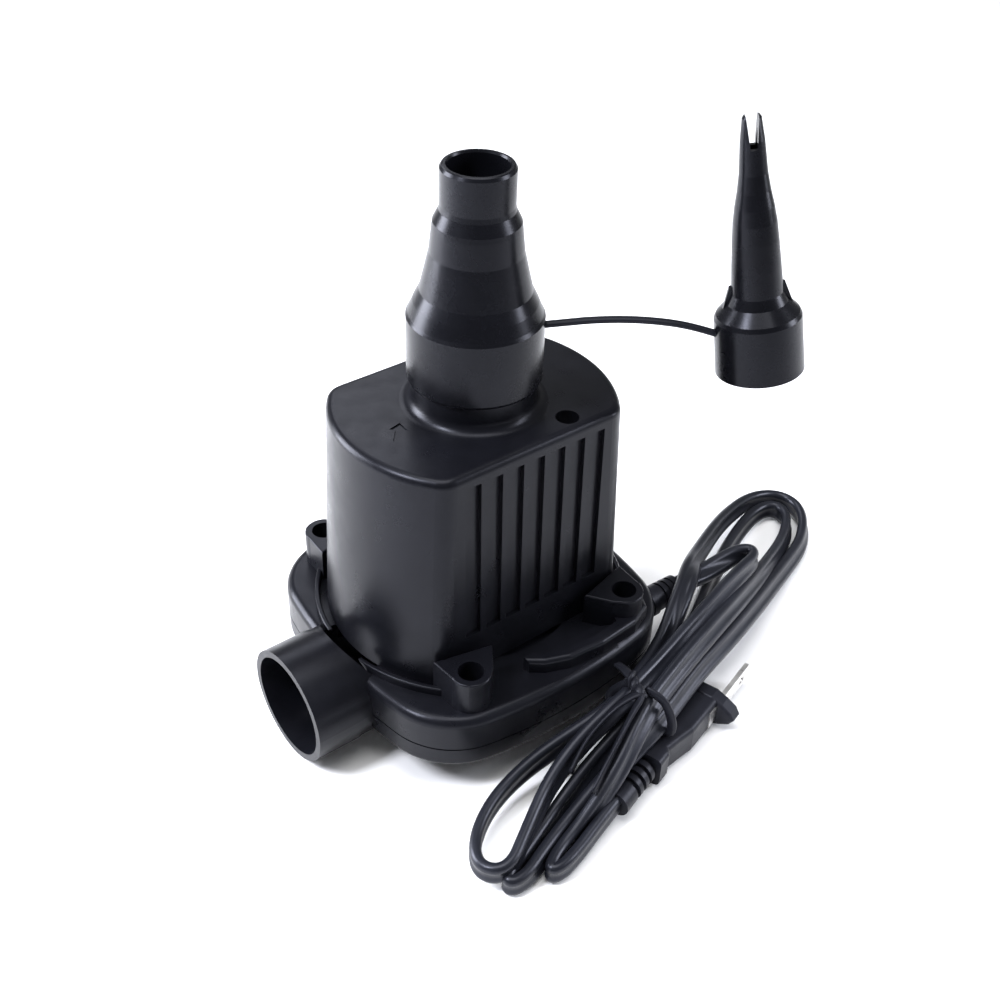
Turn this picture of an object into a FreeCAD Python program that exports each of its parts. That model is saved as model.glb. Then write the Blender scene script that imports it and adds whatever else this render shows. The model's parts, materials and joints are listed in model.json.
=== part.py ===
"""Electric air mattress pump: a mains blower with a two-part nozzle set and a tied cord.

Millimetres, +Z up. The origin is on the floor under the motor's axis, which is the Z axis.
+X points from the outlet tube towards the cord's exit, and -Y is the ribbed side.
"""

import FreeCAD, Part
import math
import os
import sys

V = FreeCAD.Vector

# The driving dimensions. Each becomes a named cell of the spreadsheet.
DRIVING = {
    # the base, two shells that meet at the seam
    "seam_height": 18.4,
    "base_half_side": 50.8,
    "base_bow_radius": 160.0,
    "base_corner_radius": 24.0,
    "base_wall": 2.2,
    "base_top": 29.6,
    "base_rim_radius": 3.0,
    "cover_underside": 11.4,
    "belly_radius": 38.0,
    "chamber_radius": 40.0,
    "plate_hole_radius": 33.0,
    "ring_radius": 47.3,
    "ring_width": 1.5,
    "ring_top": 32.2,
    "boss_spacing_x": 29.3,
    "boss_spacing_y": 39.0,
    "boss_nose_radius": 6.0,
    "boss_top": 40.6,
    "boss_bore": 3.8,
    "hump_top": 34.3,
    # the outlet tube
    "tube_radius": 18.0,
    "tube_wall": 2.2,
    "tube_mouth": 68.2,
    "tube_free": 15.0,
    "tube_offset": -1.0,
    # the motor housing, a circle with two flats
    "housing_foot": 29.8,
    "housing_top": 100.9,
    "housing_foot_radius": 45.0,
    "housing_top_radius": 41.8,
    "flat_foot": 30.6,
    "flat_top": 28.9,
    "housing_wall": 2.8,
    "housing_edge_radius": 2.4,
    "rib_pitch": 7.3,
    "rib_width": 2.1,
    "rib_depth": 1.4,
    "rib_foot": 44.0,
    "rib_head": 96.8,
    "rib_count": 7.0,
    "lid_hole_x": 15.3,
    "lid_hole_y": 23.0,
    "lid_hole_radius": 3.4,
    # the port on top and the nozzle that it carries
    "collar_radius": 18.0,
    "collar_shoulder": 109.1,
    "spigot_radius": 17.1,
    "spigot_top": 121.0,
    "port_bore": 14.6,
    "nozzle_radius": 19.1,
    "nozzle_foot": 109.2,
    "nozzle_shoulder": 128.4,
    "nozzle_top": 171.1,
    "tip_radius": 10.0,
    "tip_bore": 8.15,
    # the small nozzle and the strap that carries it
    "strap_angle": -39.0,
    "strap_height": 125.4,
    "strap_width": 2.7,
    "strap_thickness": 2.0,
    "pinch_reach": 79.2,
    "pinch_foot": 114.2,
    "pinch_lean": 10.6,
    "pinch_lean_towards": 115.7,
    "pinch_radius": 12.3,
    "pinch_socket": 10.2,
    "pinch_length": 70.8,
    # the motor, on the Z axis
    "shaft_radius": 1.6,
    "impeller_radius": 31.0,
    "armature_radius": 12.0,
    "air_gap": 0.6,
    "commutator_radius": 6.8,
    "stator_foot": 40.0,
    "stator_head": 62.0,
    "stator_half_x": 23.5,
    "stator_half_y": 19.5,
    "brush_height": 75.0,
    # the mains cord
    "cord_width": 7.0,
    "cord_thickness": 3.5,
    "cord_exit_y": -30.8,
    "boot_end": 62.0,
    "plug_half_height": 5.8,
    "plug_flange_half_width": 13.2,
    "blade_length": 17.7,
    "blade_width": 6.35,
    "blade_thickness": 1.5,
    "blade_gap": 12.7,
    "hank_waist_top": 26.4,
}

doc = FreeCAD.newDocument("AirMattressPump")
sheet = doc.addObject("Spreadsheet::Sheet", "dims")
sheet.Label = "dims"
for row, (alias, number) in enumerate(DRIVING.items(), start=1):
    sheet.set(f"A{row}", alias)
    sheet.set(f"B{row}", str(number))
    sheet.setAlias(f"B{row}", alias)
doc.recompute()


class Size:
    """A length with the spreadsheet formula that gives it, so that sums keep the formula."""

    def __init__(self, value, text):
        self.value = float(value)
        self.text = text

    def __add__(self, other):
        other = as_size(other)
        return Size(self.value + other.value, f"({self.text} + {other.text})")

    def __sub__(self, other):
        other = as_size(other)
        return Size(self.value - other.value, f"({self.text} - {other.text})")

    def __mul__(self, other):
        other = as_size(other)
        return Size(self.value * other.value, f"({self.text} * {other.text})")

    def __truediv__(self, other):
        other = as_size(other)
        return Size(self.value / other.value, f"({self.text} / {other.text})")

    def __neg__(self):
        return Size(-self.value, f"(0 - {self.text})")

    __radd__ = __add__

    def __rmul__(self, other):
        return self * other

    def __rsub__(self, other):
        return as_size(other) - self


def as_size(x):
    return x if isinstance(x, Size) else Size(x, repr(float(x)))


class Dims:
    """dims.alias is the Size that a cell of the sheet holds."""

    def __getattr__(self, alias):
        return Size(sheet.get(alias), f"dims.{alias}")


dims = Dims()
EXPORTED = []


def set_size(obj, prop, size, unit=""):
    """Set a property and bind it to the sheet. unit turns the number into a length or an angle."""
    size = as_size(size)
    if not prop.startswith("Placement."):
        setattr(obj, prop, size.value)
    obj.setExpression(prop, f"{size.text} * 1 {unit}" if unit else size.text)


def place(obj, x=0.0, y=0.0, z=0.0):
    for axis, size in (("x", x), ("y", y), ("z", z)):
        if isinstance(size, Size) or size:
            set_size(obj, f"Placement.Base.{axis}", size)
    return obj


def node(obj, label):
    """Name a finished sub-part; its label is its file's name."""
    obj.Label = label
    EXPORTED.append(obj)
    return obj


def cylinder(name, radius, low, high, x=0.0, y=0.0):
    obj = doc.addObject("Part::Cylinder", name)
    set_size(obj, "Radius", radius)
    set_size(obj, "Height", as_size(high) - low)
    return place(obj, x, y, low)


def cone(name, low_radius, high_radius, low, high, x=0.0, y=0.0):
    obj = doc.addObject("Part::Cone", name)
    set_size(obj, "Radius1", low_radius)
    set_size(obj, "Radius2", high_radius)
    set_size(obj, "Height", as_size(high) - low)
    return place(obj, x, y, low)


def box(name, x, y, z):
    """A box from three (low, high) pairs."""
    obj = doc.addObject("Part::Box", name)
    for prop, (low, high) in (("Length", x), ("Width", y), ("Height", z)):
        set_size(obj, prop, as_size(high) - low)
    return place(obj, x[0], y[0], z[0])


def lying(obj, direction, at):
    """Turn a cylinder or cone, made along Z, to a direction, with its foot at a place."""
    obj.Placement = FreeCAD.Placement(V(0, 0, 0), FreeCAD.Rotation(V(0, 0, 1), V(*direction)))
    return place(obj, *at)


def rod(name, radius, length, direction, at, end_radius=None):
    """A cylinder or cone of a length that starts at a place and runs in a direction."""
    if end_radius is None:
        obj = doc.addObject("Part::Cylinder", name)
        set_size(obj, "Radius", radius)
    else:
        obj = doc.addObject("Part::Cone", name)
        set_size(obj, "Radius1", radius)
        set_size(obj, "Radius2", end_radius)
    set_size(obj, "Height", length)
    return lying(obj, direction, at)


def cut(name, base, *tools):
    obj = doc.addObject("Part::Cut", name)
    obj.Base = base
    obj.Tool = tools[0] if len(tools) == 1 else fuse(name + "_tools", *tools)
    return obj


def fuse(name, *shapes):
    obj = doc.addObject("Part::MultiFuse", name)
    obj.Shapes = list(shapes)
    return obj


def common(name, *shapes):
    obj = doc.addObject("Part::MultiCommon", name)
    obj.Shapes = list(shapes)
    return obj


def group(name, *shapes):
    """Separate solids that share one node."""
    obj = doc.addObject("Part::Compound", name)
    obj.Links = list(shapes)
    return obj


def rounded(name, base, radius, chosen):
    """Part::Fillet on the edges of a base for which chosen(edge) is true."""
    doc.recompute()
    size = as_size(radius)
    edges = [(i, size.value, size.value) for i, e in enumerate(base.Shape.Edges, 1) if chosen(e)]
    obj = doc.addObject("Part::Fillet", name)
    obj.Base = base
    obj.Edges = edges
    return obj


def at_height(edge, z, tolerance=0.05):
    box_ = edge.BoundBox
    return abs(box_.ZMin - z) < tolerance and abs(box_.ZMax - z) < tolerance


def body(name, label=None):
    obj = doc.addObject("PartDesign::Body", name)
    if label:
        node(obj, label)
    return obj


def plane(owner, role):
    return next(f for f in owner.Origin.OriginFeatures if f.Role == role)


def sketch(owner, name, role="XY_Plane", height=None):
    """A sketch on one of its own body's origin planes, raised to a height."""
    obj = owner.newObject("Sketcher::SketchObject", name)
    obj.AttachmentSupport = [(plane(owner, role), "")]
    obj.MapMode = "FlatFace"
    if height is not None:
        size = as_size(height)
        obj.AttachmentOffset = FreeCAD.Placement(V(0, 0, size.value), FreeCAD.Rotation())
        obj.setExpression("AttachmentOffset.Base.z", size.text)
    return obj


def dimension(sk, kind, args, size):
    """A sketch dimension that reads its value from the sheet."""
    import Sketcher

    size = as_size(size)
    index = sk.addConstraint(Sketcher.Constraint(kind, *args, size.value))
    if "dims." in size.text:
        sk.renameConstraint(index, f"d{index}")
        sk.setExpression(f"Constraints.d{index}", size.text)


def outline(sk, corners):
    """A closed polygon whose corners are (size, size), each held by two dimensions."""
    import Sketcher

    points = [(as_size(a), as_size(b)) for a, b in corners]
    first = sk.GeometryCount
    for (a, b), (c, d) in zip(points, points[1:] + points[:1]):
        sk.addGeometry(Part.LineSegment(V(a.value, b.value, 0), V(c.value, d.value, 0)), False)
    count = len(points)
    for i in range(count):
        sk.addConstraint(Sketcher.Constraint("Coincident", first + i, 2, first + (i + 1) % count, 1))
    for i, (a, b) in enumerate(points):
        for kind, size in (("DistanceX", a), ("DistanceY", b)):
            if abs(size.value) < 1e-9:
                on = (-1, 1, first + i, 1)
                sk.addConstraint(Sketcher.Constraint("Vertical" if kind == "DistanceX" else "Horizontal", *on))
            else:
                dimension(sk, kind, (-1, 1, first + i, 1), size)


def circle(sk, radius, x=0.0, y=0.0):
    import Sketcher

    radius, x, y = as_size(radius), as_size(x), as_size(y)
    index = sk.addGeometry(Part.Circle(V(x.value, y.value, 0), V(0, 0, 1), radius.value), False)
    dimension(sk, "Radius", (index,), radius)
    if abs(x.value) < 1e-9 and abs(y.value) < 1e-9:
        sk.addConstraint(Sketcher.Constraint("Coincident", index, 3, -1, 1))
        return
    for kind, size in (("DistanceX", x), ("DistanceY", y)):
        if abs(size.value) < 1e-9:
            sk.addConstraint(
                Sketcher.Constraint("Vertical" if kind == "DistanceX" else "Horizontal", -1, 1, index, 3)
            )
        else:
            dimension(sk, kind, (-1, 1, index, 3), size)


def turned(owner, name, corners):
    """A revolution about Z of a profile given as (radius, height) corners."""
    sk = sketch(owner, name + "_profile", "XZ_Plane")
    outline(sk, corners)
    doc.recompute()
    obj = owner.newObject("PartDesign::Revolution", name)
    obj.Profile = sk
    obj.ReferenceAxis = (sk, ["V_Axis"])
    obj.Angle = 360
    doc.recompute()
    return obj


def pad(owner, name, sk, length):
    obj = owner.newObject("PartDesign::Pad", name)
    obj.Profile = sk
    set_size(obj, "Length", length)
    return obj


def pocket(owner, name, sk, length=None):
    """A pocket that must remove material, upwards from its sketch, through all if no length is given."""
    doc.recompute()
    before = owner.Shape.Volume
    obj = owner.newObject("PartDesign::Pocket", name)
    obj.Profile = sk
    obj.Reversed = True
    if length is None:
        obj.Type = "ThroughAll"
    else:
        set_size(obj, "Length", length)
    doc.recompute()
    if owner.Shape.Volume >= before - 1e-3:
        raise RuntimeError(f"{name} cut nothing")
    return obj


def polar(owner, name, feature, count):
    obj = owner.newObject("PartDesign::PolarPattern", name)
    obj.Originals = [feature]
    obj.Axis = (plane(owner, "Z_Axis"), [""])
    obj.Angle = 360
    obj.Occurrences = count
    owner.Tip = obj
    return obj


# --------------------------------------------------------------------------------------------
# The base: two shells with the same bowed square outline


def bowed_square(name, inset, low, high):
    """A square with slightly bowed sides and round corners, from one height to another."""
    half, bow = dims.base_half_side - inset, dims.base_bow_radius
    shapes = []
    for i, (sx, sy) in enumerate(((1, 0), (-1, 0), (0, 1), (0, -1))):
        shapes.append(
            cylinder(f"{name}_bow{i}", bow, low, high, x=-sx * (bow - half), y=-sy * (bow - half))
        )
    square = common(name + "_square", *shapes)
    doc.recompute()
    corner = dims.base_corner_radius - inset
    return rounded(name, square, corner, lambda e: e.BoundBox.ZLength > 1.0)


def rounded_rim(name, base, radius, height):
    return rounded(name, base, radius, lambda e: at_height(e, height))


BOSSES = [(sx, sy) for sx in (-1, 1) for sy in (-1, 1)]


def at_bosses(make):
    """One solid at each of the four boss places."""
    return [
        make(i, sx * dims.boss_spacing_x, sy * dims.boss_spacing_y) for i, (sx, sy) in enumerate(BOSSES)
    ]


def outlet(name, radius, low_x, high_x):
    """A cylinder along the outlet tube's axis."""
    return rod(
        name, radius, as_size(high_x) - low_x, (1, 0, 0), (low_x, dims.tube_offset, dims.seam_height)
    )


def tube_skin(name, high_x):
    """The outlet tube's outside: its full radius where a hose fits, slightly less inside the base."""
    return fuse(
        name,
        outlet(name + "_free", dims.tube_radius, -dims.tube_mouth, -dims.tube_mouth + dims.tube_free),
        outlet(name + "_root", dims.tube_radius - 0.3, -dims.tube_mouth + dims.tube_free - 1, high_x),
    )


def bottom_cover():
    """The lower shell: rim wall, floor, the belly that the impeller turns in and half the tube."""
    seam, under, wall = dims.seam_height, dims.cover_underside, dims.base_wall
    # the rim stops short of the seam, which leaves the parting groove
    block = fuse(
        "cover_block",
        bowed_square("cover_rim", as_size(0), under, seam - 0.5),
        bowed_square("cover_lip", as_size(0.6), under + 1, seam),
    )
    skin = rounded_rim("cover_skin", block, 1.4, under.value)
    hollow = bowed_square("cover_hollow", wall, under + wall, seam + 1)
    belly = rounded_rim(
        "belly", cylinder("belly_block", dims.belly_radius, as_size(0), under + 1), 1.6, 0.0
    )
    chamber = cylinder("belly_hollow", dims.belly_radius - 2, as_size(2), seam + 1)
    wall_ring = cut(
        "cover_chamber_wall",
        cylinder("cover_chamber_out", dims.chamber_radius + 1.8, under + 1, seam),
        cylinder("cover_chamber_in", dims.chamber_radius, under, seam + 1),
    )
    pillars = at_bosses(lambda i, x, y: cylinder(f"cover_pillar{i}", 4.2, under + 1, seam, x, y))
    half_tube = cut(
        "cover_tube",
        tube_skin("cover_tube_out", as_size(-30)),
        box("cover_tube_top", (-80, -20), (-30, 30), (seam, seam + 30)),
        cylinder("cover_tube_belly", dims.belly_radius - 2, as_size(-5), as_size(40)),
    )
    shell = cut("cover_shell", skin, hollow)
    whole = fuse("cover_whole", shell, belly, wall_ring, half_tube, *pillars)
    bore = outlet("cover_bore", dims.tube_radius - dims.tube_wall, -dims.tube_mouth - 5, as_size(-20))
    screws = at_bosses(lambda i, x, y: cylinder(f"cover_screw_hole{i}", 1.55, under + 1.4, seam + 1, x, y))
    boot = rod("cover_boot_seat", 4.0, 20, (1, 0, 0), (36, dims.cord_exit_y, seam))
    node(cut("cover_done", whole, chamber, bore, boot, *screws), "bottom_cover")


def boss(i, sx, sy):
    """A triangular screw boss: a round nose outwards and a straight back along the housing."""
    top, low = dims.boss_top, dims.base_top - 1
    x, y = dims.boss_spacing_x, dims.boss_spacing_y
    nose = cylinder(f"boss_nose{i}", dims.boss_nose_radius, low, top, sx * x, sy * y)
    b = body(f"boss_web{i}")
    sk = sketch(b, f"boss_web_outline{i}", height=low)
    corners = [(35.8, 29.7), (17.8, 33.9), (22.9, 41.2), (25.6, 43.7), (33.3, 43.5), (35.2, 38.4)]
    outline(sk, [(sx * as_size(a), sy * as_size(c)) for a, c in corners])
    pad(b, f"boss_web_pad{i}", sk, top - low)
    doc.recompute()
    return rounded(
        f"boss{i}",
        fuse(f"boss_block{i}", nose, b),
        0.5,
        lambda e: at_height(e, top.value) and e.Length > 1.0,
    )


def hump():
    """The half-moon swell in front of the ribbed wall, with a shallow tray behind its lip."""
    b = body("hump_body")
    low = dims.base_top - 1
    sk = sketch(b, "hump_outline", height=low)
    corners = [(-9.6, -38.8), (17.6, -38.8), (23.6, -41.6), (37.4, -39.8), (35.6, -43.6)]
    corners += [(28.0, -46.8), (14.0, -47.9), (2.0, -46.9), (-5.4, -44.0), (-9.2, -41.0)]
    outline(sk, corners)
    pad(b, "hump_pad", sk, dims.hump_top - low)
    doc.recompute()
    step = rounded(
        "hump_step", b, 1.5, lambda e: at_height(e, dims.hump_top.value) and e.BoundBox.YMax < -38.9
    )
    tray = body("hump_tray")
    sk = sketch(tray, "hump_tray_outline", height=dims.base_top + 1.6)
    outline(sk, [(-7.4, -36.0), (-4.8, -40.8), (2.6, -43.3), (13.6, -44.2), (23.0, -43.4), (25.0, -36.0)])
    pad(tray, "hump_tray_pad", sk, as_size(10))
    doc.recompute()
    return cut("hump", step, tray)


def volute_shell():
    """The upper shell of the base, with bosses, locating ring and the upper half of the tube."""
    seam, top, wall = dims.seam_height, dims.base_top, dims.base_wall
    skin = rounded_rim(
        "shell_skin", bowed_square("shell_block", as_size(0), seam, top), dims.base_rim_radius, top.value
    )
    hollow = bowed_square("shell_hollow", wall, seam - 1, top - wall)
    shell = cut("shell_box", skin, hollow)
    ring = cut(
        "ring",
        cylinder("ring_out", dims.ring_radius + dims.ring_width, top - 1, dims.ring_top),
        cylinder("ring_in", dims.ring_radius, top - 2, dims.ring_top + 1),
    )
    ring = rounded_rim("ring_soft", ring, 0.5, dims.ring_top.value)
    away = [
        box("ring_front_gap", (-34, 34), (-60, -30), (top, top + 10)),
        box("ring_notch", (-1.4, 1.4), (44, 52), (top, top + 10)),
    ]
    away[1].Placement = FreeCAD.Placement(V(0, 0, top.value), FreeCAD.Rotation(V(0, 0, 1), 110))
    for prop, size in (("Base.z", top), ("Rotation.Angle", as_size(110))):
        away[1].setExpression(f"Placement.{prop}", size.text)
    notch_centre = away[1]
    notch_centre.Placement.Base = notch_centre.Placement.Rotation.multVec(V(-1.4, 44, 0)) + V(0, 0, top.value)
    ring = cut("ring_broken", ring, *away)
    chamber_wall = cut(
        "shell_chamber_wall",
        cylinder("shell_chamber_out", dims.chamber_radius + 1.8, seam, top - 1),
        cylinder("shell_chamber_in", dims.chamber_radius, seam - 1, top),
    )
    pillars = at_bosses(lambda i, x, y: cylinder(f"shell_pillar{i}", 5.6, seam, top - 1, x, y))
    half_tube = cut(
        "shell_tube",
        tube_skin("shell_tube_out", as_size(-40.5)),
        box("shell_tube_low", (-80, -20), (-30, 30), (seam - 30, seam)),
        cone("shell_tube_end", 49.1, 52.4, top, seam + dims.tube_radius + 1),
        cylinder("shell_tube_chamber", dims.chamber_radius, as_size(0), as_size(60)),
    )
    bosses = [boss(i, sx, sy) for i, (sx, sy) in enumerate(BOSSES)]
    whole = fuse("shell_whole", shell, ring, chamber_wall, half_tube, hump(), *bosses, *pillars)
    holes = [
        cylinder("shell_hole", dims.plate_hole_radius, top - 6, top + 6),
        outlet("shell_bore", dims.tube_radius - dims.tube_wall, -dims.tube_mouth - 5, as_size(-30)),
        rod("shell_boot_seat", 4.0, 20, (1, 0, 0), (36, dims.cord_exit_y, seam)),
        cylinder("lead_hole", 3.2, top - 8, top + 4, as_size(38), as_size(-14)),
    ]
    holes += at_bosses(lambda i, x, y: cylinder(f"boss_bore{i}", dims.boss_bore, seam + 2.6, dims.boss_top + 1, x, y))
    holes += at_bosses(lambda i, x, y: cylinder(f"boss_through{i}", 1.8, seam - 1, seam + 4, x, y))
    housing_room = cone(
        "housing_room", dims.housing_foot_radius + 0.4, dims.housing_top_radius + 0.4, top, dims.housing_top
    )
    flats_room = box("flats_room", (-60, 60), (-dims.flat_foot - 0.4, dims.flat_foot + 0.4), (top, dims.housing_top))
    room = common("housing_space", housing_room, flats_room)
    node(cut("shell_done", whole, room, *holes), "volute_shell")


def divider_plate():
    """The wall between motor and impeller, with the impeller's eye and two posts for the motor."""
    b = body("divider_plate", "divider_plate")
    high = dims.base_top - dims.base_wall - 0.1
    low = high - 2.2
    turned(
        b,
        "divider_disc",
        [(10.5, low - 1.4), (12.0, low - 1.4), (12.4, low), (39.7, low), (39.7, high), (10.5, high)],
    )
    sk = sketch(b, "divider_posts_outline", height=high)
    for x in (-24.2, 24.2):
        for y in (-4.8, 4.8):
            circle(sk, 2.1, x, y)
    pad(b, "divider_posts", sk, 3.4)


def case_screws():
    """The four screws that hold the two shells together, deep in the bosses."""
    seat = dims.seam_height + 2.6
    made = []
    for i, (sx, sy) in enumerate(BOSSES):
        x, y = sx * dims.boss_spacing_x, sy * dims.boss_spacing_y
        made.append(screw(f"case_screw{i}", x, y, seat, 3.1, 1.5, 8.0))
    node(group("case_screws", *made), "case_screws")


def screw(name, x, y, seat, head_radius, shank_radius, length):
    """A cross-head screw that points down, with its head standing on a seat."""
    head = cylinder(name + "_head", head_radius, seat, seat + 2.0, x, y)
    shank = cylinder(name + "_shank", shank_radius, as_size(seat) - length, as_size(seat) + 0.5, x, y)
    slots = [
        box(f"{name}_slot{i}", (as_size(x) - a, as_size(x) + a), (as_size(y) - b, as_size(y) + b), (seat + 1.0, seat + 3))
        for i, (a, b) in enumerate(((head_radius * 0.6, 0.4), (0.4, head_radius * 0.6)))
    ]
    return cut(name, fuse(name + "_blank", head, shank), *slots)


# --------------------------------------------------------------------------------------------
# The motor housing


def double_d(name, inset, low, high):
    """A cone with two leaning flats, between two heights, shrunk by an inset."""
    foot, head = dims.housing_foot, dims.housing_top
    rise = head - foot
    radius = [
        dims.housing_foot_radius + (dims.housing_top_radius - dims.housing_foot_radius) * (z - foot) / rise - inset
        for z in (low, high)
    ]
    flat = [dims.flat_foot + (dims.flat_top - dims.flat_foot) * (z - foot) / rise - inset for z in (low, high)]
    round_part = cone(name + "_round", radius[0], radius[1], low, high)
    wedge = doc.addObject("Part::Wedge", name + "_flats")
    set_size(wedge, "Xmin", -60.0)
    set_size(wedge, "Xmax", 60.0)
    set_size(wedge, "X2min", -60.0)
    set_size(wedge, "X2max", 60.0)
    set_size(wedge, "Ymin", low)
    set_size(wedge, "Ymax", high)
    set_size(wedge, "Zmin", -flat[0])
    set_size(wedge, "Zmax", flat[0])
    set_size(wedge, "Z2min", -flat[1])
    set_size(wedge, "Z2max", flat[1])
    wedge.Placement = FreeCAD.Placement(V(0, 0, 0), FreeCAD.Rotation(V(1, 0, 0), 90))
    both = common(name + "_block", round_part, wedge)
    doc.recompute()
    upright = [e for e in both.Shape.Edges if e.BoundBox.ZLength > 10 and abs(e.BoundBox.Center.y) > 20]
    corner = max(7.0 - as_size(inset).value, 2.0)
    return rounded(
        name,
        both,
        corner,
        lambda e: any(e.isSame(u) for u in upright) and e.BoundBox.XLength < 8,
    )


def motor_housing():
    """The tall shell: two flats, one of them ribbed, and the port's collar on top."""
    foot, head, wall = dims.housing_foot, dims.housing_top, dims.housing_wall
    skin = rounded_rim("housing_skin", double_d("housing_outer", as_size(0), foot, head), dims.housing_edge_radius, head.value)
    hollow = double_d("housing_inner", wall, foot - 0.001, head - wall)
    collar = cylinder("collar", dims.collar_radius, head - 1, dims.collar_shoulder)
    spigot = cylinder("spigot", dims.spigot_radius, dims.collar_shoulder - 1, dims.spigot_top)
    whole = fuse("housing_whole", skin, collar, spigot)
    flared = rounded(
        "housing_flared",
        whole,
        3.2,
        lambda e: at_height(e, head.value) and abs(e.BoundBox.XLength - 2 * dims.collar_radius.value) < 0.1,
    )
    holes = [hollow, cylinder("port_bore", dims.port_bore, head - 20, dims.spigot_top + 5)]
    count = int(dims.rib_count.value)
    panel = dims.rib_pitch - dims.rib_width
    for i in range(count):
        centre = (i - (count - 1) / 2) * dims.rib_pitch
        recess = doc.addObject("Part::Box", f"recess{i}")
        set_size(recess, "Length", panel)
        set_size(recess, "Width", 6.0)
        set_size(recess, "Height", dims.rib_head - dims.rib_foot)
        lean = math.degrees(math.atan((dims.flat_foot.value - dims.flat_top.value) / (head.value - foot.value)))
        middle = dims.flat_foot + (dims.flat_top - dims.flat_foot) * (dims.rib_foot - foot) / (head - foot)
        recess.Placement = FreeCAD.Placement(V(0, 0, 0), FreeCAD.Rotation(V(1, 0, 0), -lean))
        place(recess, centre - panel / 2, -middle + dims.rib_depth - 6.0, dims.rib_foot)
        holes.append(recess)
    for side in (-1, 1):
        holes.append(
            cylinder(f"lid_hole{side + 1}", dims.lid_hole_radius, head - 8, head + 8, dims.lid_hole_x, side * dims.lid_hole_y)
        )
    holes.append(arrow_mark())
    posts = []
    for side in (-1, 1):
        x, y = dims.lid_hole_x, side * dims.lid_hole_y
        posts.append(cylinder(f"lid_post{side + 1}", 4.6, head - 10.5, head - 1, x, y))
    body_with_posts = fuse("housing_with_posts", cut("housing_shell", flared, *holes[:2]), *posts)
    bores = [
        cylinder(f"lid_through{side + 1}", 1.5, head - 12, head, dims.lid_hole_x, side * dims.lid_hole_y)
        for side in (-1, 1)
    ]
    node(cut("housing_done", body_with_posts, *holes[2:], *bores), "motor_housing")


def arrow_mark():
    """A plain flow arrow sunk 0.4 mm into the top, beside the port."""
    b = body("arrow_mark")
    sk = sketch(b, "arrow_outline", height=dims.housing_top - 0.4)
    x, y = -27.5, -2.0
    corners = [(0, 5.0), (2.6, 1.6), (0.9, 1.6), (0.9, -4.0), (-0.9, -4.0), (-0.9, 1.6), (-2.6, 1.6)]
    turned_by = math.radians(-40)
    placed = [
        (x + a * math.cos(turned_by) - c * math.sin(turned_by), y + a * math.sin(turned_by) + c * math.cos(turned_by))
        for a, c in corners
    ]
    outline(sk, placed)
    pad(b, "arrow_pad", sk, 2.0)
    return b


def housing_screws():
    made = []
    for side in (-1, 1):
        x, y = dims.lid_hole_x, side * dims.lid_hole_y
        made.append(screw(f"housing_screw{side + 1}", x, y, dims.housing_top - 8, 2.9, 1.4, 7.5))
    node(group("housing_screws", *made), "housing_screws")


# --------------------------------------------------------------------------------------------
# The nozzles


def nozzle_main():
    """The stepped nozzle that is pushed onto the port or the outlet tube."""
    b = body("nozzle_main", "nozzle_main")
    foot, shoulder, top = dims.nozzle_foot, dims.nozzle_shoulder, dims.nozzle_top
    outside = [
        (dims.nozzle_radius - 0.3, foot),
        (dims.nozzle_radius, foot + 0.8),
        (dims.nozzle_radius, shoulder),
        (dims.nozzle_radius - 0.6, shoulder + 1.0),
        (17.1, shoulder + 4.4),
        (15.4, shoulder + 7.8),
        (14.2, shoulder + 12.8),
        (12.8, shoulder + 18.9),
        (12.0, shoulder + 26.0),
        (11.8, shoulder + 27.4),
        (dims.tip_radius + 0.2, shoulder + 30.6),
        (dims.tip_radius, shoulder + 32.0),
        (dims.tip_radius, top - 1.0),
        (dims.tip_radius - 0.5, top - 0.2),
        (dims.tip_radius - 0.9, top),
    ]
    inside = [
        (dims.tip_bore + 0.3, top),
        (dims.tip_bore, top - 0.6),
        (dims.tip_bore, shoulder + 29.5),
        (10.4, shoulder + 26.4),
        (11.2, shoulder + 18.6),
        (13.2, shoulder + 8.2),
        (15.4, shoulder + 3.0),
        (dims.spigot_radius + 0.15, shoulder - 2.0),
        (dims.spigot_radius + 0.15, foot),
    ]
    turned(b, "nozzle_turned", outside + inside)


def strap_direction():
    angle = math.radians(dims.strap_angle.value)
    return V(math.cos(angle), math.sin(angle), 0)


def pinch_placement():
    """Where the small nozzle's own frame stands: foot on the reach, leaning back to the pump."""
    foot = strap_direction() * dims.pinch_reach.value + V(0, 0, dims.pinch_foot.value)
    towards = math.radians(dims.pinch_lean_towards.value + 90)
    return FreeCAD.Placement(
        foot, FreeCAD.Rotation(V(math.cos(towards), math.sin(towards), 0), dims.pinch_lean.value)
    )


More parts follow.
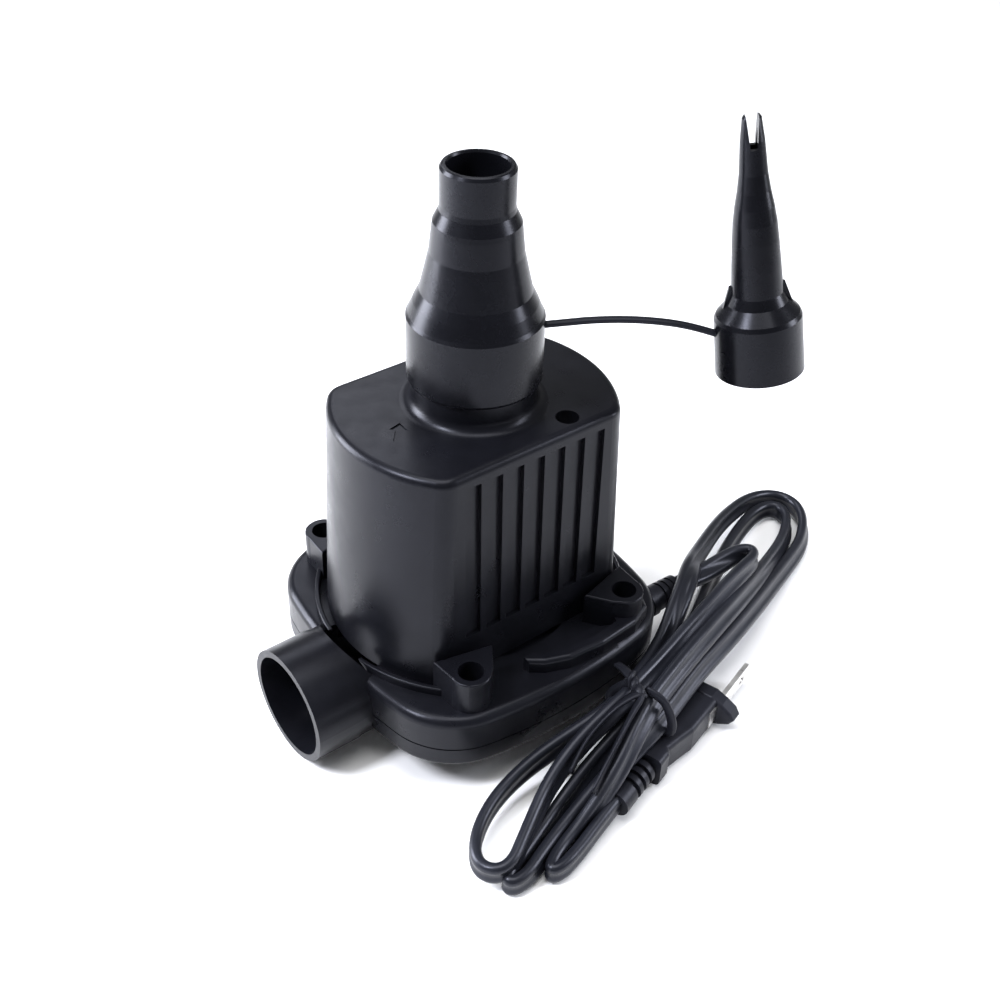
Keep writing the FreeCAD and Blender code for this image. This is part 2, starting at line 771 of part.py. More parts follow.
def nozzle_pinch():
    """The small forked nozzle for pinch valves, made upright and then stood on its place."""
    b = body("nozzle_pinch", "nozzle_pinch")
    base, tip = dims.pinch_radius, dims.pinch_length
    outside = [
        (base, 0.0),
        (base - 0.4, 16.0),
        (base - 1.0, 17.2),
        (8.2, 20.4),
        (7.0, 23.2),
        (6.6, 31.0),
        (6.2, 38.0),
        (5.8, 43.0),
        (5.2, 47.2),
        (4.4, 51.4),
        (3.75, 56.0),
        (3.2, 64.4),
        (2.5, tip - 0.6),
        (2.1, tip),
    ]
    inside = [
        (1.1, tip),
        (1.7, 63.0),
        (3.2, 50.0),
        (4.7, 40.0),
        (5.4, 26.0),
        (7.0, 19.4),
        (dims.pinch_socket, 15.0),
        (dims.pinch_socket, 0.0),
    ]
    turned(b, "pinch_turned", outside + inside)
    sk = sketch(b, "pinch_notch_outline", "XZ_Plane")
    outline(sk, [(-0.9, tip - 8.2), (0.9, tip - 8.2), (1.7, tip + 1), (-1.7, tip + 1)])
    doc.recompute()
    before = b.Shape.Volume
    notch = b.newObject("PartDesign::Pocket", "pinch_notch")
    notch.Profile = sk
    notch.Midplane = True
    notch.Type = "Length"
    notch.Length = 12
    doc.recompute()
    if b.Shape.Volume >= before:
        raise RuntimeError("the pinch nozzle has no notch")
    sk = sketch(b, "pinch_fin_outline", "XZ_Plane")
    outline(sk, [(-9.8, 17.9), (-6.2, 17.9), (-6.2, 25.6), (-7.5, 25.2)])
    outline(sk, [(9.8, 17.9), (6.2, 17.9), (6.2, 25.6), (7.5, 25.2)])
    fin = b.newObject("PartDesign::Pad", "pinch_fins")
    fin.Profile = sk
    fin.Midplane = True
    fin.Length = 1.2
    doc.recompute()
    b.Placement = FreeCAD.Placement(
        pinch_placement().Base,
        pinch_placement().Rotation.multiply(FreeCAD.Rotation(V(0, 0, 1), dims.strap_angle.value)),
    )


STRAP_GAP = 0.5


def strap_half(name, low, high, round_low):
    """Half of the moulded strap between the nozzles, on the strap's own line."""
    along = strap_direction()
    width, thick = dims.strap_width, dims.strap_thickness
    bar = box(name + "_bar", (low, high), (-width / 2, width / 2), (-thick / 2, thick / 2))
    joint_end = low if round_low else high
    ball = rod(name + "_end", thick / 2, width, (0, 1, 0), (joint_end, -width / 2, 0))
    whole = fuse(name + "_whole", bar, ball)
    turn = FreeCAD.Rotation(V(0, 0, 1), dims.strap_angle.value)
    holder = cut(name, whole, box(name + "_groove", (low - 5, high + 5), (-0.3, 0.3), (thick / 2 - 0.3, thick)))
    holder.Placement = FreeCAD.Placement(V(0, 0, dims.strap_height.value), turn)
    return holder


def nozzle_tether():
    """The strap, in two halves that meet where it bends, each on its own nozzle."""
    half = dims.strap_thickness.value / 2
    middle = (dims.nozzle_radius.value + 67.0) / 2
    root = strap_half("strap_root", dims.nozzle_radius - 0.6, as_size(middle - half - STRAP_GAP / 2), False)
    root_clear = cut("tether_root_fitted", root, cylinder("tether_root_seat", dims.nozzle_radius + 0.02, 100, 140))
    node(root_clear, "tether_root")
    tail = strap_half("strap_tail", as_size(middle + half + STRAP_GAP / 2), as_size(69.0), True)
    seat = doc.addObject("Part::Cone", "tether_tail_seat")
    set_size(seat, "Radius1", dims.pinch_radius + 0.02)
    set_size(seat, "Radius2", dims.pinch_radius - 0.38)
    set_size(seat, "Height", 16.0)
    seat.Placement = pinch_placement()
    node(cut("tether_tail_fitted", tail, seat), "tether_tail")
    return middle


# --------------------------------------------------------------------------------------------
# The motor and the impeller


def shaft():
    b = body("motor_shaft", "motor_shaft")
    r = dims.shaft_radius
    turned(
        b,
        "shaft_turned",
        [(0, 3.2), (r - 0.3, 3.2), (r, 3.6), (r, 91.6), (r - 0.3, 92.0), (0, 92.0)],
    )


def impeller():
    """A closed-back centrifugal wheel with blades that sweep backwards."""
    b = body("impeller", "impeller")
    r, bore = dims.impeller_radius, dims.shaft_radius + 0.02
    turned(
        b,
        "impeller_disc",
        [(bore, 6.2), (r, 6.2), (r, 7.4), (9.0, 8.2), (5.4, 12.0), (4.4, 19.6), (bore, 19.6)],
    )
    sk = sketch(b, "blade_outline", height=as_size(7.2))
    inner, outer, sweep, thick = 10.5, r.value - 0.4, math.radians(62), 0.7
    steps = 5
    spine = []
    for i in range(steps + 1):
        share = i / steps
        radius = inner + (outer - inner) * share
        angle = -sweep * share**1.4
        spine.append((radius, angle))
    one = [(q * math.cos(a), q * math.sin(a)) for q, a in spine]
    two = [(q * math.cos(a + 2 * thick / q), q * math.sin(a + 2 * thick / q)) for q, a in reversed(spine)]
    outline(sk, one + two)
    blade = pad(b, "blade", sk, 14.0)
    doc.recompute()
    polar(b, "blades", blade, 11)
    doc.recompute()


def impeller_nut():
    b = body("impeller_nut", "impeller_nut")
    sk = sketch(b, "nut_outline", height=as_size(3.8))
    across = 3.0
    outline(sk, [(across * math.cos(math.radians(60 * i)), across * math.sin(math.radians(60 * i))) for i in range(6)])
    circle(sk, dims.shaft_radius + 0.02)
    pad(b, "nut_pad", sk, 2.2)


def armature_core():
    """The laminated armature with its slots."""
    b = body("armature_core", "armature_core")
    low, high = dims.stator_foot - 0.5, dims.stator_head + 0.5
    sk = sketch(b, "armature_outline", height=low)
    circle(sk, dims.armature_radius)
    circle(sk, dims.shaft_radius + 0.02)
    pad(b, "armature_stack", sk, high - low)
    sk = sketch(b, "slot_outline", height=low - 1)
    outline(sk, [(6.4, -1.4), (9.9, -1.9), (10.6, -0.9), (13.0, -0.9), (13.0, 0.9), (10.6, 0.9), (9.9, 1.9), (6.4, 1.4)])
    slot = pocket(b, "slot", sk, high - low + 2)
    polar(b, "slots", slot, 10)
    doc.recompute()


def armature_winding():
    """Copper in the armature's slots, joined by the winding heads at both ends."""
    b = body("armature_winding", "armature_winding")
    low, high = dims.stator_foot - 0.7, dims.stator_head + 0.7
    hole = dims.shaft_radius + 1.4
    turned(b, "head_low", [(hole, low - 5.0), (8.6, low - 5.4), (10.6, low - 3.8), (10.8, low), (hole, low)])
    turned(b, "head_high", [(hole, high), (10.8, high), (10.6, high + 4.2), (8.4, high + 6.0), (hole, high + 5.4)])
    sk = sketch(b, "slot_copper_outline", height=low - 0.5)
    outline(sk, [(6.9, -1.1), (9.6, -1.5), (9.6, 1.5), (6.9, 1.1)])
    bar = pad(b, "slot_copper", sk, high - low + 1.0)
    doc.recompute()
    polar(b, "slot_coppers", bar, 10)
    doc.recompute()


def commutator():
    b = body("commutator", "commutator")
    r = dims.commutator_radius
    turned(
        b,
        "commutator_ring",
        [(dims.shaft_radius + 0.02, 70.0), (r + 0.9, 70.0), (r + 0.9, 71.2), (r, 71.2), (r, 79.6), (dims.shaft_radius + 0.02, 79.6)],
    )
    sk = sketch(b, "segment_gap_outline", height=as_size(69.5))
    outline(sk, [(r - 0.8, -0.18), (r + 2, -0.18), (r + 2, 0.18), (r - 0.8, 0.18)])
    gap = pocket(b, "segment_gap", sk, 11.0)
    polar(b, "segment_gaps", gap, 10)
    doc.recompute()


def stator_core():
    """The laminated field core: a frame with two poles around the armature."""
    b = body("stator_core", "stator_core")
    low, high = dims.stator_foot, dims.stator_head
    half_x, half_y = dims.stator_half_x, dims.stator_half_y
    sk = sketch(b, "stator_outline", height=low)
    outline(sk, [(-half_x, -half_y), (half_x, -half_y), (half_x, half_y), (-half_x, half_y)])
    circle(sk, dims.armature_radius + dims.air_gap)
    pad(b, "stator_stack", sk, high - low)
    sk = sketch(b, "coil_slot_outline", height=low - 1)
    for sx in (-1, 1):
        for sy in (-1, 1):
            corners = [(13.4, 4.0), (18.4, 4.0), (18.4, 14.6), (9.6, 14.6), (9.6, 11.0), (13.4, 8.6)]
            outline(sk, [(sx * x, sy * y) for x, y in corners])
    pocket(b, "coil_slots", sk, high - low + 2)
    sk = sketch(b, "bolt_hole_outline", height=low - 1)
    for side in (-1, 1):
        circle(sk, 1.75, side * 21.0)
    pocket(b, "bolt_holes", sk, high - low + 2)


def field_coils():
    """Two coils, each round one pole through the stator's slots, and out past both ends."""
    low, high = dims.stator_foot, dims.stator_head
    made = []
    for side in (-1, 1):
        near, far = (5.6, 8.2) if side < 0 else (5.6, 8.2)
        outer = box(f"coil_out{side + 1}", (side * 16.0 - 1.9, side * 16.0 + 1.9), (-far - 0.2, far + 0.2), (low - 6.0, high + 6.0))
        inner = box(f"coil_in{side + 1}", (side * 16.0 - 3.0, side * 16.0 + 3.0), (-near + 1.0, near - 1.0), (low - 0.6, high + 0.6))
        made.append(cut(f"coil{side + 1}", outer, inner))
    node(group("field_coils", *made), "field_coils")


def bracket(name, plate_low, leg_low, leg_high, cup_low, cup_high, bolt):
    """A bridge across the motor that holds a bearing in its middle."""
    plate = box(name + "_plate", (-26.5, 26.5), (-7.0, 7.0), (plate_low, plate_low + 2.5))
    cup = cylinder(name + "_cup", 6.6, cup_low, cup_high)
    legs = [
        box(f"{name}_leg{side + 1}", (side * 21.0 - 2.4, side * 21.0 + 2.4), (-5.0, 5.0), (leg_low, leg_high))
        for side in (-1, 1)
    ]
    whole = fuse(name + "_whole", plate, cup, *legs)
    bores = [cylinder(name + "_bore", 4.05, as_size(cup_low) - 1, as_size(cup_high) + 1)]
    bores += [
        cylinder(f"{name}_bolt_hole{side + 1}", bolt, as_size(plate_low) - 26, as_size(plate_low) + 30, side * 21.0)
        for side in (-1, 1)
    ]
    return whole, bores


def motor_brackets():
    low, high = dims.stator_foot, dims.stator_head
    whole, bores = bracket("lower_bracket", as_size(30.7), as_size(33.0), low, as_size(29.2), as_size(32.6), 1.75)
    node(cut("lower_bracket", whole, *bores), "lower_bracket")
    whole, bores = bracket("upper_bracket", as_size(84.0), high, as_size(84.5), as_size(82.4), as_size(88.2), 1.75)
    for side in (-1, 1):
        half = 2.85
        bores.append(
            box(
                f"holder_window{side + 1}",
                (side * 21.0 - 4, side * 21.0 + 4),
                (-half, half),
                (dims.brush_height - half, dims.brush_height + half),
            )
        )
    node(cut("upper_bracket", whole, *bores), "upper_bracket")


def bushings():
    """The two sintered bushes, pressed into the brackets."""
    for label, low, high in (("lower_bushing", 29.4, 32.4), ("upper_bushing", 82.6, 88.0)):
        b = body(label, label)
        turned(
            b,
            label + "_turned",
            [(dims.shaft_radius + 0.05, low), (4.0, low), (4.0, high), (dims.shaft_radius + 0.05, high)],
        )


def brush_gear():
    """Brass holders, carbon brushes and the springs that press them on the commutator."""
    z = dims.brush_height
    holders, brushes, springs = [], [], []
    for side in (-1, 1):
        far, near = side * 25.5, side * 8.2
        low, high = min(far, near), max(far, near)
        outer = box(f"holder_out{side + 1}", (low, high), (-2.75, 2.75), (z - 2.75, z + 2.75))
        tunnel = box(f"holder_in{side + 1}", (low - 1 if side > 0 else low + 0.6, high + 1 if side < 0 else high - 0.6), (-2.25, 2.25), (z - 2.25, z + 2.25))
        holders.append(cut(f"holder{side + 1}", outer, tunnel))
        near, far = side * (dims.commutator_radius + 0.3), side * as_size(15.0)
        ends = (near, far) if side > 0 else (far, near)
        brushes.append(box(f"brush{side + 1}", ends, (-2.15, 2.15), (z - 2.15, z + 2.15)))
        springs.append(coil_spring(f"brush_spring{side + 1}", side * 15.1, side * 24.8))
    node(group("brush_holders", *holders), "brush_holders")
    node(group("carbon_brushes", *brushes), "carbon_brushes")
    node(group("brush_springs", *springs), "brush_springs")


def coil_spring(name, start, end):
    """A small helical spring along X at the height of the brushes."""
    wire_radius, coil_radius, pitch = 0.25, 1.6, 1.35
    length = abs(end - start) - 2 * wire_radius
    helix = Part.makeHelix(pitch, length, coil_radius)
    profile = Part.Wire([Part.makeCircle(wire_radius, V(coil_radius, 0, 0), V(0, 1, 0))])
    shape = Part.Wire(helix).makePipeShell([profile], True, True)
    obj = doc.addObject("Part::Feature", name)
    obj.Shape = shape
    direction = V(1 if end > start else -1, 0, 0)
    foot = V(start, 0, dims.brush_height.value) + direction * wire_radius
    obj.Placement = FreeCAD.Placement(foot, FreeCAD.Rotation(V(0, 0, 1), direction))
    return obj


def motor_bolts():
    """Two long bolts that clamp both brackets to the stator."""
    made = []
    for side in (-1, 1):
        x = side * 21.0
        head = cylinder(f"bolt_head{side + 1}", 3.0, 86.6, 88.4, x)
        top = cylinder(f"bolt_top{side + 1}", 1.6, 78.2, 87.0, x)
        made.append(fuse(f"motor_bolt{side + 1}", head, top))
    for side in (-1, 1):
        x = side * 21.0
        head = cylinder(f"low_bolt_head{side + 1}", 2.9, 28.6, 30.6, x)
        shank = cylinder(f"low_bolt_shank{side + 1}", 1.6, 30.0, 71.6, x)
        made.append(fuse(f"low_motor_bolt{side + 1}", head, shank))
    node(group("motor_bolts", *made), "motor_bolts")


# --------------------------------------------------------------------------------------------
# The mains cord


HANK_CORNER = V(-46.0, -75.0, 0.0)
HANK_ANGLE = 15.3
PLUG_END = V(-6.8, -79.3, 0.0)
PLUG_ANGLE = 17.0


def hank_frame():
    """The hank's own frame: x along it from the lower left end, y towards the pump."""
    return FreeCAD.Placement(HANK_CORNER, FreeCAD.Rotation(V(0, 0, 1), HANK_ANGLE))


def plug_frame():
    """The plug's own frame: x along it from the cord's end to the blades, z at its middle."""
    return FreeCAD.Placement(
        PLUG_END + V(0, 0, dims.plug_half_height.value), FreeCAD.Rotation(V(0, 0, 1), PLUG_ANGLE)
    )


def strain_relief():
    """The tapered, ribbed boot that is gripped between the two shells."""
    z, y = dims.seam_height, dims.cord_exit_y
    flange = rod("boot_flange", 4.7, 1.6, (1, 0, 0), (38.4, y, z))
    neck = rod("boot_neck", 3.95, 10.0, (1, 0, 0), (39.6, y, z))
    head = rod("boot_head", 5.2, 2.4, (1, 0, 0), (48.7, y, z))
    taper = rod("boot_taper", 4.7, dims.boot_end - 50.0, (1, 0, 0), (50.0, y, z), end_radius=4.3)
    bore = rod("boot_bore", 3.6, 30.0, (1, 0, 0), (dims.boot_end - 5.0, y, z))
    grooves = [
        cut(
            f"boot_groove{i}",
            rod(f"boot_groove_out{i}", 6.0, 0.9, (1, 0, 0), (54.0 + 2.4 * i, y, z)),
            rod(f"boot_groove_in{i}", 3.9, 3.0, (1, 0, 0), (53.0 + 2.4 * i, y, z)),
        )
        for i in range(3)
    ]
    whole = fuse("boot_whole", flange, neck, head, taper)
    node(cut("strain_relief", whole, bore, *grooves), "strain_relief")


# The free lead from the boot into the hank. Each corner is rounded by an arc as large as fits.
LEAD_ROUTE = [(57.1, -30.8, 18.4), (66.0, -30.8, 18.4), (75.0, -32.4, 17.6)]


def rounded_path(points):
    """Straight runs joined by tangent arcs, each with 0.45 of the shorter run for its tangent."""
    points = [V(*p) for p in points]
    edges, radii, at = [], [], points[0]
    for before, corner, after in zip(points, points[1:], points[2:]):
        back, ahead = before - corner, after - corner
        reach = 0.45 * min(back.Length, ahead.Length)
        turn = math.pi - back.getAngle(ahead)
        radii.append(reach / math.tan(turn / 2))
        back.normalize()
        ahead.normalize()
        start, end = corner + back * reach, corner + ahead * reach
        middle = corner + (back + ahead).normalize() * (radii[-1] / math.cos(turn / 2) - radii[-1])
        edges.append(Part.LineSegment(at, start).toShape())
        edges.append(Part.Arc(start, middle, end).toShape())
        at = end
    edges.append(Part.LineSegment(at, points[-1]).toShape())
    return Part.Wire(edges), radii


def cord_lead():
    """The stretch of cord between the boot and the hank, drawn round at its greater width."""
    path, radii = rounded_path(LEAD_ROUTE)
    radius = dims.cord_width.value / 2
    start = V(*LEAD_ROUTE[0])
    profile = Part.Wire([Part.makeCircle(radius, start, V(1, 0, 0))])
    shape = path.makePipeShell([profile], True, False)
    obj = doc.addObject("Part::Feature", "cord_lead")
    obj.Shape = shape
    wanted = math.pi * radius**2 * path.Length
    print("cord lead radii", [round(r, 1) for r in radii], "volume", round(shape.Volume / wanted, 4))
    node(obj, "cord_lead")


def arc(a, b, c):
    return Part.Arc(V(*a, 0), V(*b, 0), V(*c, 0)).toShape()


def cord_hank():
    """The outer shape of the tied hank: two lobes, a narrow waist over the plug, a raised middle."""
    boot_side = [(63.4, -31.2), (63.4, -37.2), (50.5, -38.9)]
    edges = [
        arc((21.0, -71.6), (66.0, -55.8), (128.0, -33.2)),
        arc((128.0, -33.2), (142.0, -21.0), (142.0, -9.0)),
        arc((142.0, -9.0), (138.0, -4.2), (130.0, -3.0)),
        arc((130.0, -3.0), (98.0, -14.6), boot_side[0]),
        Part.LineSegment(V(*boot_side[0], 0), V(*boot_side[1], 0)).toShape(),
        Part.LineSegment(V(*boot_side[1], 0), V(*boot_side[2], 0)).toShape(),
        arc(boot_side[2], (41.5, -44.6), (30.0, -50.4)),
        arc((30.0, -50.4), (8.0, -57.0), (-11.6, -55.6)),
        arc((-11.6, -55.6), (-27.0, -54.6), (-38.0, -58.0)),
        arc((-38.0, -58.0), (-49.0, -68.5), (-43.5, -80.5)),
        arc((-43.5, -80.5), (-33.0, -83.6), (-20.5, -81.0)),
        arc((-20.5, -81.0), (0.0, -76.6), (21.0, -71.6)),
    ]
    slab = Part.Face(Part.Wire(edges)).extrude(V(0, 0, 40))
    top = dims.hank_waist_top.value
    side = [(-20, 0), (-20, 8.2), (12, 8.4), (30, 13), (46, 20.5), (56, top), (108, top)]
    side += [(132, 21), (155, 15), (175, 10.5), (188, 8.4), (225, 8.2), (225, 0)]
    profile = Part.Face(Part.makePolygon([V(a, -60, b) for a, b in side + side[:1]]))
    profile = profile.extrude(V(0, 120, 0))
    profile.Placement = hank_frame()
    plug_length = 53.8 + dims.blade_length.value
    room = Part.makeBox(plug_length + 3, 28.6, 40, V(-1.2, -14.3, 13.8 - dims.plug_half_height.value - 40))
    room.Placement = plug_frame()
    solids = slab.common(profile).cut(room).Solids
    obj = doc.addObject("Part::Feature", "cord_hank")
    obj.Shape = max(solids, key=lambda s: s.Volume)
    print("hank solids", [round(s.Volume) for s in solids])
    node(obj, "cord_hank")


def twist_tie():
    """The wire tie round the waist of the hank: a band, its twisted knot and two loose ends."""
    band = Part.makeBox(2.4, 23.4, 15.6, V(61.0, -18.0, 12.1))
    band = band.cut(Part.makeBox(6.0, 20.6, 12.9, V(59.0, -16.6, 13.5)))
    knot = Part.makeCylinder(1.5, 9.0, V(60.0, -8.0, 28.3), V(0.75, 1, 0))
    ends = [
        rod_between(V(60.5, -7.6, 28.2), V(31.0, -1.8, 16.6), 0.75),
        rod_between(V(60.5, -7.6, 28.2), V(28.5, -10.0, 15.6), 0.75),
        rod_between(V(66.0, -0.4, 28.3), V(67.6, 5.0, 27.2), 0.75),
    ]
    obj = doc.addObject("Part::Feature", "twist_tie")
    obj.Shape = band.multiFuse([knot] + ends)
    obj.Placement = hank_frame()
    node(obj, "twist_tie")


def rod_between(start, end, radius):
    return Part.makeCylinder(radius, (end - start).Length, start, end - start)


def plug():
    """The moulded two-blade plug that lies flat under the hank's edge."""
    half, side = dims.plug_half_height, dims.plug_flange_half_width
    b = body("plug_flange")
    sk = sketch(b, "plug_flange_outline", "YZ_Plane", height=as_size(48.8))
    quarter = [(side, 0.0), (side - 1.4, 2.3), (side - 4.6, 4.2), (side - 8.4, half)]
    corners = quarter + [(-x, y) for x, y in reversed(quarter)]
    corners += [(-x, -as_size(y)) for x, y in quarter[1:]] + [(x, -as_size(y)) for x, y in reversed(quarter[1:])]
    outline(sk, corners)
    pad(b, "plug_flange_pad", sk, 5.0)
    doc.recompute()
    flange = rounded("plug_flange_soft", b, 0.8, lambda e: abs(e.BoundBox.XLength) < 0.01)
    block = body("plug_block")
    sk = sketch(block, "plug_block_outline", height=-half + 0.4)
    flank = [(17.2, 5.2), (22.0, 5.2), (23.8, 4.2), (28.8, 5.2), (34.6, 6.6), (49.2, 6.9)]
    outline(sk, flank + [(x, -y) for x, y in reversed(flank)])
    pad(block, "plug_block_pad", sk, (half - 0.4) * 2)
    doc.recompute()
    block = rounded("plug_block_soft", block, 1.8, lambda e: e.BoundBox.XLength > 1 and e.BoundBox.ZLength < 0.01)
    core = rod("plug_core", 3.0, 20.0, (1, 0, 0), (0.5, 0, 0))
    cuff = rod("plug_cuff", 4.2, 6.0, (1, 0, 0), (0, 0, 0))
    ribs = [rod(f"plug_rib{i}", 4.2, 1.8, (1, 0, 0), (7.6 + 3.2 * i, 0, 0)) for i in range(3)]
    whole = fuse("plug_whole", flange, block, core, cuff, *ribs)
    far = dims.blade_gap / 2
    thick, wide = dims.blade_thickness / 2, dims.blade_width / 2
    sockets = [
        box(f"blade_slot{i}", (44.95, 60.0), (s * far - thick - 0.03, s * far + thick + 0.03), (-wide - 0.03, wide + 0.03))
        for i, s in enumerate((-1, 1))
    ]
    done = cut("plug_moulding", whole, *sockets)
    done.Placement = plug_frame()
    node(done, "plug_body")
    blades = []
    for i, s in enumerate((-1, 1)):
        blade = box(
            f"blade_bar{i}", (45.0, 53.8 + dims.blade_length), (s * far - thick, s * far + thick), (-wide, wide)
        )
        hole = rod(f"blade_hole{i}", 1.6, 6.0, (0, 1, 0), (53.8 + 13.0, s * far - 3.0, 0))
        blades.append(cut(f"blade{i}", blade, hole))
    both = group("plug_blades", *blades)
    both.Placement = plug_frame()
    node(both, "plug_blades")


# --------------------------------------------------------------------------------------------

bottom_cover()
volute_shell()
divider_plate()
case_screws()
motor_housing()
housing_screws()
nozzle_main()
nozzle_pinch()
hinge_reach = nozzle_tether()
shaft()
impeller()
impeller_nut()
armature_core()
armature_winding()
commutator()
stator_core()
field_coils()
motor_brackets()
bushings()
brush_gear()
motor_bolts()
strain_relief()
cord_lead()
cord_hank()
twist_tie()
plug()
doc.recompute()

bad = [o.Name for o in doc.Objects if "Invalid" in o.State or "Error" in o.State]
for obj in EXPORTED:
    if obj.Shape.isNull() or not obj.Shape.isValid():
        bad.append(obj.Label + " shape")
if bad:
    sys.exit(f"failed objects: {bad}")
os.makedirs("parts", exist_ok=True)
for obj in EXPORTED:
    obj.Shape.exportStep(f"parts/{obj.Label}.step")
    print(obj.Label, len(obj.Shape.Solids), round(obj.Shape.Volume, 1))
print("strap hinge reach", round(hinge_reach, 3), "direction", strap_direction())
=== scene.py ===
"""Looks of the electric air mattress pump: materials, mains cord, tie, strap, light, camera."""

import json
import math

import bmesh
import bpy
from mathutils import Matrix, Vector


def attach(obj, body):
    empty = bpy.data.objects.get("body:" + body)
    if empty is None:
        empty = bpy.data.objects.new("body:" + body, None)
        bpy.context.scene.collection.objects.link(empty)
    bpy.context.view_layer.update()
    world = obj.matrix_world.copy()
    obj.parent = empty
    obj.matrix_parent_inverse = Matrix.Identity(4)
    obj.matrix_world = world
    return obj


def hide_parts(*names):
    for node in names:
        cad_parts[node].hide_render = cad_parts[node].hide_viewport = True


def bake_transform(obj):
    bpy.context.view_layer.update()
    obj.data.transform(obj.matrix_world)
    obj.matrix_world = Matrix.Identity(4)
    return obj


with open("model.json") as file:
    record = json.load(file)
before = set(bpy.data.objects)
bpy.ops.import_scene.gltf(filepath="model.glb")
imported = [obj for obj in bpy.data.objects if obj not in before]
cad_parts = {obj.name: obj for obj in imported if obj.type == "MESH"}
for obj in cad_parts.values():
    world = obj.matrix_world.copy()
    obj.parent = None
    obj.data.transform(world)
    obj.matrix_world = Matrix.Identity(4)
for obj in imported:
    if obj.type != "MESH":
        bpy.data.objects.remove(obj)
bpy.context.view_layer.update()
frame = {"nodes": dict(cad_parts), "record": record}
nodes = frame["nodes"]
scene = bpy.context.scene
MM = 0.001

# --------------------------------------------------------------------------------------------
# Camera

CAMERA_PLACE = Vector((-188.7, -243.2, 303.7)) * MM
CAMERA_AZIMUTH, CAMERA_ELEVATION, CAMERA_ROLL = map(math.radians, (39.39, 37.87, 2.13))
CAMERA_LENS, CAMERA_SENSOR = 46.575, 36
CAMERA_NEAREST = 0.01


def camera_axes():
    """Right, up and forward of the camera before its small roll."""
    flat = Vector((math.sin(CAMERA_AZIMUTH), math.cos(CAMERA_AZIMUTH), 0))
    right = Vector((math.cos(CAMERA_AZIMUTH), -math.sin(CAMERA_AZIMUTH), 0))
    forward = flat * math.cos(CAMERA_ELEVATION) - Vector((0, 0, math.sin(CAMERA_ELEVATION)))
    return right, right.cross(forward), forward


def make_camera():
    right, up, forward = camera_axes()
    c, s = math.cos(CAMERA_ROLL), math.sin(CAMERA_ROLL)
    x, y = right * c + up * s, up * c - right * s
    data = bpy.data.cameras.new("camera")
    data.lens = CAMERA_LENS
    data.sensor_width = CAMERA_SENSOR
    data.clip_start = CAMERA_NEAREST
    camera = bpy.data.objects.new("camera", data)
    scene.collection.objects.link(camera)
    turn = Matrix((x, y, -forward)).transposed()
    camera.matrix_world = Matrix.Translation(CAMERA_PLACE) @ turn.to_4x4()
    scene.camera = camera


make_camera()

# --------------------------------------------------------------------------------------------
# Materials


COOL_GLINT = (0.86, 0.88, 1.0, 1)


class Nodes:
    """A small helper that builds one node material."""

    def __init__(self, name):
        self.material = bpy.data.materials.new(name)
        self.material.use_nodes = True
        self.tree = self.material.node_tree
        self.shader = self.tree.nodes["Principled BSDF"]
        self.place = self.add("ShaderNodeTexCoord").outputs["Object"]

    def add(self, kind, **values):
        made = self.tree.nodes.new(kind)
        for key, value in values.items():
            setattr(made, key, value)
        return made

    def join(self, source, target):
        self.tree.links.new(source, target)

    def noise(self, scale, detail=3.0, rough=0.55, stretch=None):
        made = self.add("ShaderNodeTexNoise")
        made.inputs["Scale"].default_value = scale
        made.inputs["Detail"].default_value = detail
        made.inputs["Roughness"].default_value = rough
        self.join(self.moved(stretch), made.inputs["Vector"])
        return made.outputs["Fac"]

    def moved(self, stretch):
        if stretch is None:
            return self.place
        mapping = self.add("ShaderNodeMapping")
        mapping.inputs["Scale"].default_value = stretch
        self.join(self.place, mapping.inputs["Vector"])
        return mapping.outputs["Vector"]

    def wave(self, scale, direction, distortion=0.0):
        made = self.add("ShaderNodeTexWave", bands_direction=direction)
        made.inputs["Scale"].default_value = scale
        made.inputs["Distortion"].default_value = distortion
        self.join(self.place, made.inputs["Vector"])
        return made.outputs["Fac"]

    def spread(self, value, low, high, start=0.3, end=0.7):
        made = self.add("ShaderNodeMapRange")
        limits = {"From Min": start, "From Max": end, "To Min": low, "To Max": high}
        for key, number in limits.items():
            made.inputs[key].default_value = number
        self.join(value, made.inputs["Value"])
        return made.outputs["Result"]

    def tint(self, value, dark, light, start=0.35, end=0.65):
        made = self.add("ShaderNodeValToRGB")
        made.color_ramp.elements[0].position = start
        made.color_ramp.elements[1].position = end
        made.color_ramp.elements[0].color = (*dark, 1)
        made.color_ramp.elements[1].color = (*light, 1)
        self.join(value, made.inputs["Fac"])
        self.join(made.outputs["Color"], self.shader.inputs["Base Color"])

    def roughen(self, value, low, high):
        self.join(self.spread(value, low, high), self.shader.inputs["Roughness"])

    def bump(self, *layers):
        """Each layer is a height and its depth in metres."""
        below = None
        for height, depth in layers:
            made = self.add("ShaderNodeBump")
            made.inputs["Strength"].default_value = 1.0
            made.inputs["Distance"].default_value = depth
            self.join(height, made.inputs["Height"])
            if below:
                self.join(below, made.inputs["Normal"])
            below = made.outputs["Normal"]
        self.join(below, self.shader.inputs["Normal"])


def plastic(name, dark, light, low, high, grain=2600.0, depth=0.000009, level=0.17):
    """Moulded plastic: a fine grain, faint flow marks and handling marks in the gloss."""
    m = Nodes(name)
    flow, fine, patch = m.noise(34, 4), m.noise(grain, 2), m.noise(110, 5, 0.62)
    m.tint(flow, dark, light)
    m.roughen(patch, low, high)
    m.bump((fine, depth), (m.noise(60, 2), 0.00004))
    m.shader.inputs["Specular IOR Level"].default_value = level
    m.shader.inputs["Specular Tint"].default_value = COOL_GLINT
    return m.material


